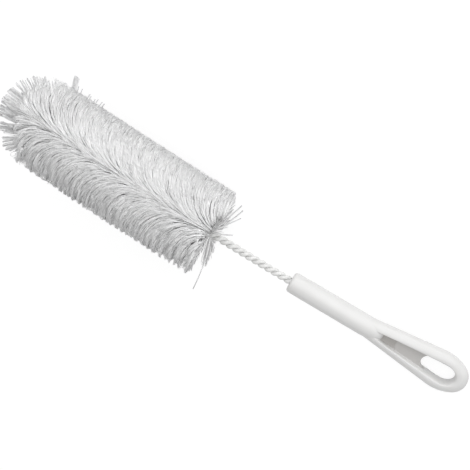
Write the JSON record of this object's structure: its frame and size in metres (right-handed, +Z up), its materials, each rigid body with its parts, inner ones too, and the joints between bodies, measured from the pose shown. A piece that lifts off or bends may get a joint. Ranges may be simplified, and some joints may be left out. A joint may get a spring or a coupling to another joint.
{
  "type": "bottle brush",
  "caption": "Bottle brush with a cylindrical twisted-in-wire bristle head, a rounded fan at its tip and a moulded handle with a hanging loop, for scrubbing bottles and cylinders.",
  "frame": {"origin": "on the table under the middle of the brush's bounding box, as the brush lies at rest", "axes": "+X along the brush from the fan of bristles at its tip to the loop of the handle, +Z up from the table; the axis of the brush dips towards the handle by 8.0 degrees, because the head is wider than the loop"},
  "size_m": [0.3954, 0.0814, 0.0907],
  "materials": {
    "handle": "glossy white moulded plastic",
    "wire": "satin white coat on steel wire",
    "bristles": "smooth, slightly clear white filament"
  },
  "bodies": {
    "root": {"handle": "handle", "twisted_wire": "wire", "bristle_turn_01": "bristles", "bristle_turn_02": "bristles", "bristle_turn_03": "bristles", "bristle_turn_04": "bristles", "bristle_turn_05": "bristles", "bristle_turn_06": "bristles", "bristle_turn_07": "bristles", "bristle_turn_08": "bristles", "bristle_turn_09": "bristles", "bristle_turn_10": "bristles", "bristle_turn_11": "bristles", "bristle_turn_12": "bristles", "bristle_turn_13": "bristles", "bristle_turn_14": "bristles"}
  },
  "joints": []
}
